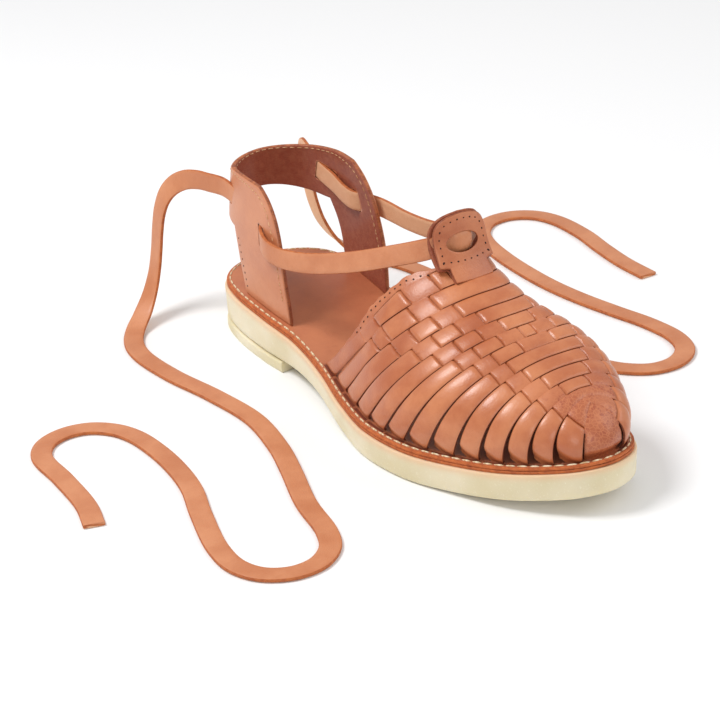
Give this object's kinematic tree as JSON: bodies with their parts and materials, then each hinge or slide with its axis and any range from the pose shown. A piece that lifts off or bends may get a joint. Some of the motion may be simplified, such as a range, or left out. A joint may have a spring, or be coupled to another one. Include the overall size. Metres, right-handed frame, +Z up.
{
  "type": "huarache sandal",
  "caption": "Right woven leather huarache sandal with a crepe sole and heel lift, a slotted instep tab, a heel strap and long flat ankle ties lying loose.",
  "frame": {"origin": "centre of the sole's outline, on the floor plane that the heel lift and the tread stand on", "axes": "+Y to the toe, +X to the lateral side of a right foot, +Z up"},
  "size_m": [0.3329, 0.2841, 0.0936],
  "materials": {
    "crepe": "matte, fine grained",
    "edge_leather": "raw edge",
    "foot_leather": "smooth",
    "upper_leather": "satin",
    "lace_leather": "soft satin"
  },
  "bodies": {
    "root": {"heel_lift": "crepe", "outsole": "crepe", "midsole": "edge_leather", "footbed": "foot_leather", "vamp": "upper_leather", "quarter": "upper_leather", "lace": "lace_leather", "tie_lateral": "lace_leather", "tie_medial": "lace_leather"}
  },
  "joints": []
}
